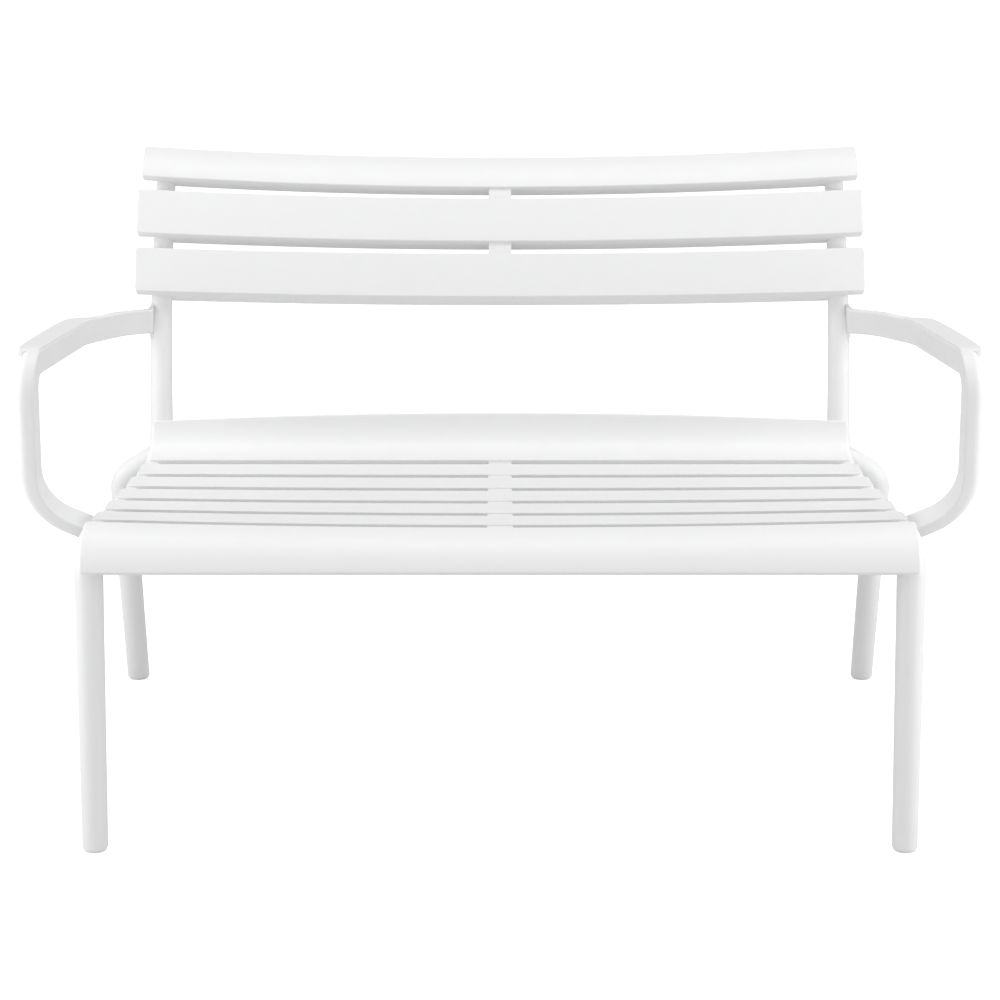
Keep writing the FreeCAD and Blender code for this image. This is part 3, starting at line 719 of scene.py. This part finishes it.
for (name, (low_trim, high_trim, taper)), (start, end) in zip(BACK_SLATS.items(), back_leans()):
    leans = (start + degrees(low_trim / BACK_FACE), end - degrees(high_trim / BACK_FACE))
    curl, half = (BACK_CURL, BACK_TOP_HALF) if name == "top" else (0.0, BACK_HALF)
    back_slat("back_slat_" + name, leans, curl, half, taper)

# %% [markdown]
# ## The strip behind the back
# A flat strip ties the three back slats together behind the middle. It shows in the gaps and from
# behind. It is laid upwards along the same large arc, with the rib's kind of section.

# %% The strip
STRIP_HALF, STRIP_RECESS, STRIP_DEPTH, STRIP_END = 0.0155, 0.004, 0.022, 0.012
STRIP_STEPS = 14


def back_strip():
    leans = back_leans()
    overlap = degrees(STRIP_END / BACK_FACE)
    start, end = leans[0][1] - overlap, leans[2][0] + overlap
    face = BACK_FACE - BACK_BOW * (UPRIGHT_X / BACK_HALF) ** 2
    rings = []
    for i in range(STRIP_STEPS + 1):
        lean = start + (end - start) * i / STRIP_STEPS
        section = bar_section(STRIP_HALF, face - STRIP_RECESS, face - STRIP_DEPTH, RIB_EDGE, RIB_EDGE)
        rings.append([at(point.y, 0, 0) + back_at(point.z, lean) for point in section])
    finish_piece("back_centre_strip", skinned(rings), "frame_resin")


back_strip()

# %% [markdown]
# ## The arms
# Each arm is one bar: it leaves the upright, swings outwards, runs forward and dives in a tight
# turn to the front, then bends back under and ends a little inside the side rail. It is flat
# towards the seat and round on its outer side. Where it meets the upright the moulding is filled
# in with a small fillet, so the section grows over the last few millimetres.

# %% Arm sizes and path
ARM_THICK, ARM_WIDE, ARM_ROUND, ARM_INNER_EDGE = 0.0205, 0.032, 0.0099, 0.0018
ARM_REAR_HEIGHT, ARM_FRONT_HEIGHT, ARM_FRONT_BACK, ARM_FRONT_BEND = 0.55, 0.5852, 0.0516, 0.03
ARM_PLAN = [(0.505, 0.487), (0.544, 0.375), (0.5505, ARM_FRONT_BACK)]  # upper corners from above
ARM_LOW = at(0.561, 0.096, 0.4015)
ARM_BENDS = [0.088, 0.16, ARM_FRONT_BEND, 0.078]
POST_BACK, POST_SUNK = 0.1197, 0.006


def arm_height(back):
    share = (back - ARM_FRONT_BACK) / (upright_mid.y - ARM_FRONT_BACK)
    return ARM_FRONT_HEIGHT + (ARM_REAR_HEIGHT - ARM_FRONT_HEIGHT) * share


def on_side_frame(reached, stretch):
    """the point of this stretch where the measure reaches nought"""
    for low, high in zip(side_stretches[stretch], side_stretches[stretch][1:]):
        if reached(high) >= 0:
            share = -reached(low) / (reached(high) - reached(low))
            return low.lerp(high, share)
    raise ValueError("not on this stretch")


arm_root = on_side_frame(lambda point: point.z - ARM_REAR_HEIGHT, UPRIGHT_ARC)
post_end = on_side_frame(lambda point: point.y - POST_BACK, RAIL_ARC) - at(0, 0, POST_SUNK)
arm_corners = [at(x, back, arm_height(back)) for x, back in ARM_PLAN]
arm_stretches = bent([arm_root] + arm_corners + [ARM_LOW, post_end], ARM_BENDS)
print("arm leaves the upright at", [round(value, 4) for value in placed(arm_root)])

# %% [markdown]
# The rings of the bar need places of their own where the fillet grows and where the armrest's
# recess begins and ends, so the path is cut there too. The front turn is its stretch 5.

# %% Where the arm's rings lie
FILLET, UPRIGHT_SKIN, SUNK = 0.007, 0.0136, 0.005
RECESS_STEP, CAP_FRONT, CAP_TAIL = 0.0002, 0.076, 0.404
FRONT_TURN_ARC = 5
FRONT_TURN = ARM_FRONT_BEND + ARM_WIDE / 2
front_turn_back = arm_stretches[FRONT_TURN_ARC][0].y
recess_front = front_turn_back - (front_turn_back - CAP_FRONT) * ARM_FRONT_BEND / FRONT_TURN


def cut_where(points, measure, marks):
    """the path with an extra point wherever the measure of it passes one of these marks"""
    cutting = list(points)
    for mark in marks:
        for i, (here, there) in enumerate(zip(cutting, cutting[1:])):
            low, high = measure(here), measure(there)
            if min(low, high) < mark < max(low, high):
                cutting.insert(i + 1, here.lerp(there, (mark - low) / (high - low)))
                break
    return cutting


def arm_path():
    path = [point for stretch in arm_stretches for point in stretch]
    path = [point for i, point in enumerate(path)
            if not i or (point - path[i - 1]).length > SAME_PLACE]
    start = UPRIGHT_SKIN - SUNK
    marks = [start] + [UPRIGHT_SKIN + depth for depth in turn_depths(FILLET)]
    path = cut_where(path, lambda point: (point - arm_root).length, marks)
    path = [point for point in path if (point - arm_root).length > start - SAME_PLACE]
    steps = [recess_front + RECESS_STEP, recess_front + 3 * RECESS_STEP,
             CAP_TAIL - 3 * RECESS_STEP, CAP_TAIL - RECESS_STEP]
    return cut_where(path, lambda point: point.y, steps)


def in_recess(point):
    between_steps = recess_front + 2 * RECESS_STEP < point.y < CAP_TAIL - 2 * RECESS_STEP
    return between_steps and point.z > ARM_REAR_HEIGHT


print("arm path has", len(arm_path()), "stations")

# %% [markdown]
# The section is a bar whose outer corners are rounded far more than its inner ones, and its top is
# lowered where the cap is let in. The rings of the fillet lean with the upright, so that they meet
# it alike above and below.

# %% The arm bars
FILLET_THINS, FILLET_INNER, FILLET_OUTER = 0.55, 0.3, 0.85
RECESS_DEPTH, RECESS_EDGE = 0.0035, 0.0008
upright_slope = (arm_root.z - back_centre.z) / (back_centre.y - arm_root.y)


def arm_section(grown, lowered):
    """the side direction points at the seat, so the flat is at plus and the round side at minus"""
    thick, wide = ARM_THICK / 2 - grown * FILLET_THINS, ARM_WIDE / 2 + grown
    inner_edge = ARM_INNER_EDGE + grown * FILLET_INNER
    top_inner = RECESS_EDGE if lowered else inner_edge
    outer_edge = ARM_ROUND - grown * FILLET_OUTER
    corners = [at(0, thick, -wide), at(0, thick, wide - lowered), at(0, -thick, wide - lowered),
               at(0, -thick, -wide)]
    return turned(corners, [inner_edge, top_inner, outer_edge - lowered, outer_edge])


def arm_rings():
    path, rings = arm_path(), []
    for point, (side, lift) in zip(path, carried(path, at(0, 0, 1))):
        grown = turned_in(FILLET, (point - arm_root).length - UPRIGHT_SKIN)
        section = arm_section(grown, RECESS_DEPTH if in_recess(point) else 0.0)
        lean = at(0, upright_slope * grown / FILLET, 0)
        rings.append([point + side * place.y + (lift + lean) * place.z for place in section])
    return rings


both_hands("arm", arm_rings(), "arm_resin")

# %% [markdown]
# ## The armrests
# The armrest is a broad cap let into the top of the bar. Its inner edge follows the bar's inner
# face, its outer edge stands out past the bar and turns down as a lip, and at the rear it narrows
# into the bar. It is laid from front to rear like a slat.

# %% Where the armrest lies
CAP_PROUD, CAP_FADE = 0.0002, 0.381
CAP_EDGES = [(CAP_FRONT, 0.566), (0.140, 0.5678), (0.205, 0.568), (0.300, 0.5672), (0.360, 0.5655),
             (CAP_FADE, 0.564), (0.393, 0.5575), (CAP_TAIL, 0.546)]


def cap_outer_x(back):
    for (low, first), (high, second) in zip(CAP_EDGES, CAP_EDGES[1:]):
        if low <= back <= high:
            return first + (second - first) * (back - low) / (high - low)
    raise ValueError("no armrest at %g" % back)


def flat_side(points):
    """the bar's flat face seen from above, half a thickness from its centre towards the seat"""
    line = []
    for i, here in enumerate(points):
        on = points[min(i + 1, len(points) - 1)] - points[max(i - 1, 0)]
        line.append(here + at(on.y, -on.x, 0).normalized() * (ARM_THICK / 2 + CAP_PROUD))
    return line


arm_forward = flat_side([point for stretch in arm_stretches[:FRONT_TURN_ARC] for point in stretch]
                        + [arm_corners[-1]])


def arm_inner_x(back):
    for rear, fore in zip(arm_forward, arm_forward[1:]):
        if fore.y <= back <= rear.y and rear.y > fore.y:
            return rear.lerp(fore, (rear.y - back) / (rear.y - fore.y)).x
    raise ValueError("no arm at %g" % back)


def cap_top(back):
    """the top of the bar, which has begun to bend down at the cap's front end"""
    past = max(0.0, front_turn_back - back)
    return arm_height(back) + ARM_WIDE / 2 - (FRONT_TURN - sqrt(FRONT_TURN ** 2 - past ** 2))


print("armrest's top at 0.2 m: %.4f" % cap_top(0.2))

# %% [markdown]
# The lip is full up to where the cap begins to narrow, and fades out from there. Rings are set
# close together at both ends, where edges and corners are rounded.

# %% The armrests
CAP_THICK, CAP_TOP_EDGE, CAP_FINE = 0.005, 0.0022, 0.0008
CAP_LIP, CAP_LIP_WALL, CAP_LIP_DRAFT = 0.009, 0.004, 0.001
CAP_CORNER, CAP_BAYS, CAP_DIGITS = 0.007, 30, 6


def cap_section(back, outer):
    """the cap's outline seen along the arm"""
    inner, wall = arm_inner_x(back), outer - CAP_LIP_WALL
    fade = max(0.0, (back - CAP_FADE) / (CAP_TAIL - CAP_FADE))
    drop = CAP_LIP + (CAP_THICK + 2 * CAP_FINE - CAP_LIP) * fade
    corners = [at(0, inner, -CAP_THICK), at(0, inner, 0), at(0, outer, 0), at(0, outer, -drop),
               at(0, wall, -drop), at(0, wall - CAP_LIP_DRAFT, -CAP_THICK)]
    return turned(corners, [CAP_FINE, CAP_FINE * 2, CAP_TOP_EDGE, CAP_FINE, CAP_FINE, 0])


def cap_rings():
    length = CAP_TAIL - CAP_FRONT
    front = {depth for radius in (CAP_TOP_EDGE, CAP_CORNER) for depth in turn_depths(radius)}
    bays = {length * i / CAP_BAYS for i in range(1, CAP_BAYS)}
    tail = {length - depth for depth in turn_depths(CAP_TOP_EDGE)}
    rings = []
    for depth in sorted({round(depth, CAP_DIGITS) for depth in front | bays | tail}):
        back = CAP_FRONT + depth
        outer = cap_outer_x(min(back, CAP_TAIL)) - turned_in(CAP_CORNER, depth)
        ends = max(turned_in(CAP_TOP_EDGE, depth), turned_in(CAP_TOP_EDGE, length - depth))
        section = drawn_in(cap_section(back, outer), min(ends, CAP_FINE))
        rings.append([at(place.y, back, cap_top(back) + place.z) for place in section])
    return rings


both_hands("armrest", cap_rings(), "arm_resin")
print("pieces made:", len(finished))

# %% [markdown]
# ## White moulded resin
# The real finish is a satin white plastic. Close to, it isn't flat: the tool leaves a very fine
# grain, the thick walls sink a little as they cool, the pigment is faintly uneven, and hands and
# cloths leave short fine rubs. These effects go on every piece, so they are shader node groups
# with their own inputs, built once and placed in each material with its own values.

# %% Helpers for node groups
NUMBER = "NodeSocketFloat"


def new_group(name, inputs, outputs):
    """a group whose inputs and outputs are all numbers"""
    group = bpy.data.node_groups.new(name, "ShaderNodeTree")
    for label, value in inputs.items():
        socket = group.interface.new_socket(name=label, in_out="INPUT", socket_type=NUMBER)
        socket.default_value = value
    for label in outputs:
        group.interface.new_socket(name=label, in_out="OUTPUT", socket_type=NUMBER)
    return group, group.nodes.new("NodeGroupInput"), group.nodes.new("NodeGroupOutput")


def set_values(node, values):
    for label, value in values.items():
        node.inputs[label].default_value = value


def noise(tree, vector, scale, detail, roughness):
    node = tree.nodes.new("ShaderNodeTexNoise")
    tree.links.new(vector, node.inputs["Vector"])
    tree.links.new(scale, node.inputs["Scale"])
    set_values(node, {"Detail": detail, "Roughness": roughness})
    return node.outputs["Fac"]


def ramped(tree, value, low, high, to_low=0.0, to_high=1.0):
    node = tree.nodes.new("ShaderNodeMapRange")
    tree.links.new(value, node.inputs["Value"])
    set_values(node, {"From Min": low, "From Max": high, "To Min": to_low, "To Max": to_high})
    return node.outputs["Result"]


def combined(tree, kind, first, second):
    node = tree.nodes.new("ShaderNodeMath")
    node.operation = kind
    for socket, value in zip(node.inputs, (first, second)):
        if isinstance(value, (int, float)):
            socket.default_value = value
        else:
            tree.links.new(value, socket)
    return node.outputs[0]


print("ready: new_group, set_values, noise, ramped, combined")

# %% [markdown]
# Three noises of very different size make the bare surface: the tool's grain, the slow ripple of
# a cooling wall, and clouds of pigment. The first two become bumps, and the last one tints.

# %% The moulded surface
PIGMENT_CUT = (0.3, 0.7)


def moulded_surface():
    group, given, result = new_group(
        "moulded_surface", {"Grain Scale": 1500.0, "Ripple Scale": 14.0, "Pigment Scale": 55.0},
        ("Grain", "Ripple", "Pigment"))
    place = group.nodes.new("ShaderNodeTexCoord").outputs["Object"]
    grain = noise(group, place, given.outputs["Grain Scale"], detail=3.0, roughness=0.6)
    ripple = noise(group, place, given.outputs["Ripple Scale"], detail=1.0, roughness=0.4)
    pigment = noise(group, place, given.outputs["Pigment Scale"], detail=4.0, roughness=0.55)
    group.links.new(grain, result.inputs["Grain"])
    group.links.new(ripple, result.inputs["Ripple"])
    group.links.new(ramped(group, pigment, *PIGMENT_CUT), result.inputs["Pigment"])
    return group


surface_group = moulded_surface()
print("node group:", surface_group.name)

# %% [markdown]
# Rubs run along the length of a piece, because that is how it is wiped. A noise that is stretched
# along the bench and cut off high leaves a few thin streaks. Dust settles only on what faces up,
# and unevenly.

# %% Rubs and dust
RUB_STRETCH, RUB_CUT = (0.12, 2.2, 2.2), (0.56, 0.74)
DUST_FACING, DUST_CUT = (0.55, 0.98), (0.42, 0.68)


def handling():
    group, given, result = new_group("handling", {"Rub Scale": 26.0, "Dust Scale": 9.0},
                                     ("Rubs", "Dust"))
    place = group.nodes.new("ShaderNodeTexCoord")
    stretch = group.nodes.new("ShaderNodeMapping")
    stretch.inputs["Scale"].default_value = RUB_STRETCH
    group.links.new(place.outputs["Object"], stretch.inputs["Vector"])
    streaks = noise(group, stretch.outputs["Vector"], given.outputs["Rub Scale"], detail=5.0,
                    roughness=0.65)
    group.links.new(ramped(group, streaks, *RUB_CUT), result.inputs["Rubs"])
    facing = group.nodes.new("ShaderNodeSeparateXYZ")
    group.links.new(place.outputs["Normal"], facing.inputs["Vector"])
    upward = ramped(group, facing.outputs["Z"], *DUST_FACING)
    patches = noise(group, place.outputs["Object"], given.outputs["Dust Scale"], detail=5.0,
                    roughness=0.6)
    dust = combined(group, "MULTIPLY", upward, ramped(group, patches, *DUST_CUT))
    group.links.new(dust, result.inputs["Dust"])
    return group


handling_group = handling()
print("node group:", handling_group.name)

# %% [markdown]
# ## One resin, four finishes
# The slats, the frame, the arms and the floor pads come from different tools, so they share the
# resin but not its polish: the frame's tubes are a little glossier, the slats are more grained so
# that they aren't slippery, and the pads are a softer, greyer plastic. One function builds them.

# %% Helpers for materials
def with_group(tree, group, values):
    node = tree.nodes.new("ShaderNodeGroup")
    node.node_tree = group
    set_values(node, values)
    return node


def bumped(tree, height, strength, distance, under=None):
    node = tree.nodes.new("ShaderNodeBump")
    set_values(node, {"Strength": strength, "Distance": distance})
    tree.links.new(height, node.inputs["Height"])
    if under is not None:
        tree.links.new(under, node.inputs["Normal"])
    return node.outputs["Normal"]


def tinted(tree, clean, uneven, share):
    mix = tree.nodes.new("ShaderNodeMix")
    mix.data_type = "RGBA"
    set_values(mix, {"A": (*clean, 1), "B": (*uneven, 1)})
    tree.links.new(share, mix.inputs["Factor"])
    return mix.outputs["Result"]


print("ready: with_group, bumped, tinted")

# %% [markdown]
# Pigment and dust mix the clean colour with the uneven one, rubs dull the polish, and the ripple's
# bump is laid over the grain's.

# %% The resin
CLOUD_SHARE, DUST_SHARE = 0.35, 0.25
POLISH_SPREAD, RUB_DULLING = 0.03, 0.09
RESIN_IOR, RESIN_SPECULAR = 1.49, 0.3
GRAIN_STRENGTH, RIPPLE_STRENGTH = 0.35, 0.5


def resin(name, colours, roughness, grain, ripple, pigment, rubs, dust):
    """colours are (clean, uneven), grain and ripple are (scale, depth), the last three are scales"""
    material = bpy.data.materials.new(name)
    material.use_nodes = True
    tree = material.node_tree
    shader = tree.nodes["Principled BSDF"]
    surface = with_group(tree, surface_group, {"Grain Scale": grain[0], "Ripple Scale": ripple[0],
                                               "Pigment Scale": pigment})
    wear = with_group(tree, handling_group, {"Rub Scale": rubs, "Dust Scale": dust})
    cloud = combined(tree, "MULTIPLY", surface.outputs["Pigment"], CLOUD_SHARE)
    settled = combined(tree, "MULTIPLY", wear.outputs["Dust"], DUST_SHARE)
    colour = tinted(tree, *colours, combined(tree, "ADD", cloud, settled))
    tree.links.new(colour, shader.inputs["Base Color"])
    polish = ramped(tree, surface.outputs["Pigment"], 0, 1, roughness - POLISH_SPREAD,
                    roughness + POLISH_SPREAD)
    dulled = combined(tree, "MULTIPLY", wear.outputs["Rubs"], RUB_DULLING)
    tree.links.new(combined(tree, "ADD", polish, dulled), shader.inputs["Roughness"])
    set_values(shader, {"IOR": RESIN_IOR, "Specular IOR Level": RESIN_SPECULAR})
    fine = bumped(tree, surface.outputs["Grain"], GRAIN_STRENGTH, grain[1])
    slow = bumped(tree, surface.outputs["Ripple"], RIPPLE_STRENGTH, ripple[1], under=fine)
    tree.links.new(slow, shader.inputs["Normal"])
    return material


print("resin uses", surface_group.name, "and", handling_group.name)

# %% [markdown]
# Each finish has its own values. A scale says how many grains, ripples, clouds, rubs or patches of
# dust fall in a metre or so, and a depth is in metres.

# %% The four finishes
WHITES = (0.798, 0.800, 0.801), (0.780, 0.781, 0.777)
PAD_WHITES = (0.77, 0.77, 0.765), (0.69, 0.69, 0.68)
finishes = {
    "slat_resin": resin("slat_resin_finish", WHITES, roughness=0.44, grain=(1500, 0.00005),
                        ripple=(12, 0.0005), pigment=55, rubs=26, dust=9),
    "frame_resin": resin("frame_resin_finish", WHITES, roughness=0.36, grain=(1700, 0.00004),
                         ripple=(16, 0.0004), pigment=60, rubs=30, dust=9),
    "arm_resin": resin("arm_resin_finish", WHITES, roughness=0.38, grain=(1700, 0.00004),
                       ripple=(14, 0.0004), pigment=60, rubs=34, dust=11),
    "glide_plastic": resin("glide_plastic_finish", PAD_WHITES, roughness=0.55,
                           grain=(1100, 0.00008), ripple=(40, 0.0006), pigment=120, rubs=60,
                           dust=30)}
for piece in finished.values():
    piece.data.materials.append(finishes[piece["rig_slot"]])
print("finishes:", ", ".join(finishes))

# %% [markdown]
# ## Studio
# The photograph is a catalogue picture: a white bench cut out on a white ground, lit softly from
# all round. A wide pale floor, an even surround and one large soft light overhead light the seat. A
# weak low light in front lifts the legs, and two on each side give the tubes their bright rims.
# The floor glows a little, as a white studio floor throws light back up. The camera alone sees the
# floor and the surround lifted to white, so that the ground is as plain as in the photograph.

# %% Floor
FLOOR_REACH, FLOOR_ROUGHNESS, FLOOR_SPECULAR = 40.0, 0.9, 0.1
FLOOR_GREY, FLOOR_GLOW, FLOOR_LIFT = 0.55, 0.14, 0.8


def floor():
    shape = bmesh.new()
    bmesh.ops.create_grid(shape, x_segments=1, y_segments=1, size=FLOOR_REACH)
    mesh = bpy.data.meshes.new("studio_floor")
    shape.to_mesh(mesh)
    shape.free()
    ground = put_in_scene("studio_floor", mesh)
    material = bpy.data.materials.new("studio_floor_finish")
    material.use_nodes = True
    tree = material.node_tree
    shader = tree.nodes["Principled BSDF"]
    set_values(shader, {"Base Color": (FLOOR_GREY, FLOOR_GREY, FLOOR_GREY, 1),
                        "Roughness": FLOOR_ROUGHNESS, "Specular IOR Level": FLOOR_SPECULAR,
                        "Emission Strength": 1.0})
    seen = tree.nodes.new("ShaderNodeLightPath").outputs["Is Camera Ray"]
    glow = ramped(tree, seen, 0, 1, FLOOR_GLOW, FLOOR_LIFT)
    tree.links.new(glow, shader.inputs["Emission Color"])
    mesh.materials.append(material)
    ground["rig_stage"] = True


floor()
print("the floor reaches", FLOOR_REACH, "m each way")

# %% [markdown]
# Discs give round highlights on the tubes. They are hidden from the camera, so that none shows
# when the bench is seen from its side or back.

# %% Surround and soft lights
SURROUND, SURROUND_SEEN = 0.57, 1.0
LIGHTS = {  # place, aim, size and power
    "key_light": ((0, -0.3, 6.4), (0, 0, 0.4), 3.2, 154),
    "front_light": ((0, -4.5, 0.55), (0, 0, 0.4), 1.6, 13)}
for name, hand in (("left", -1), ("right", 1)):
    LIGHTS[name + "_light"] = ((1.7 * hand, -0.35, 0.8), (0.4 * hand, 0, 0.45), 1.2, 7.8)
    LIGHTS[name + "_low_light"] = ((1.9 * hand, -1.0, 0.3), (0.4 * hand, 0.1, 0.3), 1.2, 5.5)


def surround():
    world = bpy.data.worlds.new("studio_surround")
    world.use_nodes = True
    tree = world.node_tree
    backdrop = tree.nodes["Background"]
    backdrop.inputs["Color"].default_value = (1, 1, 1, 1)
    seen = tree.nodes.new("ShaderNodeLightPath").outputs["Is Camera Ray"]
    strength = ramped(tree, seen, 0, 1, SURROUND, SURROUND_SEEN)
    tree.links.new(strength, backdrop.inputs["Strength"])
    bpy.context.scene.world = world


def soft_light(name, place, aim, size, power):
    data = bpy.data.lights.new(name, "AREA")
    data.shape = "DISK"
    data.size = size
    data.energy = power
    lamp = put_in_scene(name, data)
    lamp.location = place
    lamp.rotation_euler = (Vector(aim) - Vector(place)).to_track_quat("-Z", "Y").to_euler()
    lamp.visible_camera = False
    print("%-16s %5.1f W" % (name, power))


surround()
for name, values in LIGHTS.items():
    soft_light(name, *values)
bpy.context.scene.view_settings.view_transform = "Standard"

# %% [markdown]
# The camera stands where the photographer stood: three metres in front, just over a metre up, and
# pitched down fifteen degrees. A long lens keeps the two sides nearly parallel: its focal length
# is 2400 pixels of a photograph that is 1000 pixels wide.

# %% Camera
CAMERA_PLACE, CAMERA_PITCH = (0, -3.0093, 1.154), 15
FOCAL_PIXELS, PHOTO_PIXELS, SENSOR_WIDTH = 2400, 1000, 36.0


def camera():
    data = bpy.data.cameras.new("catalogue_camera")
    data.lens = SENSOR_WIDTH * FOCAL_PIXELS / PHOTO_PIXELS
    data.sensor_width = SENSOR_WIDTH
    view = put_in_scene("catalogue_camera", data)
    view.location = CAMERA_PLACE
    view.rotation_euler = (radians(90 - CAMERA_PITCH), 0, 0)
    bpy.context.scene.camera = view
    print("camera lens: %.1f mm" % data.lens)


camera()

# %% [markdown]
# ## Sizes
# The finished bench may not be larger than the CAD model, so both boxes are kept.

# %% Sizes and finish
new_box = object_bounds()
for name, box in (("cad", cad_box), ("visual", new_box)):
    print("%-6s box" % name, [[round(value, 4) for value in corner] for corner in box])
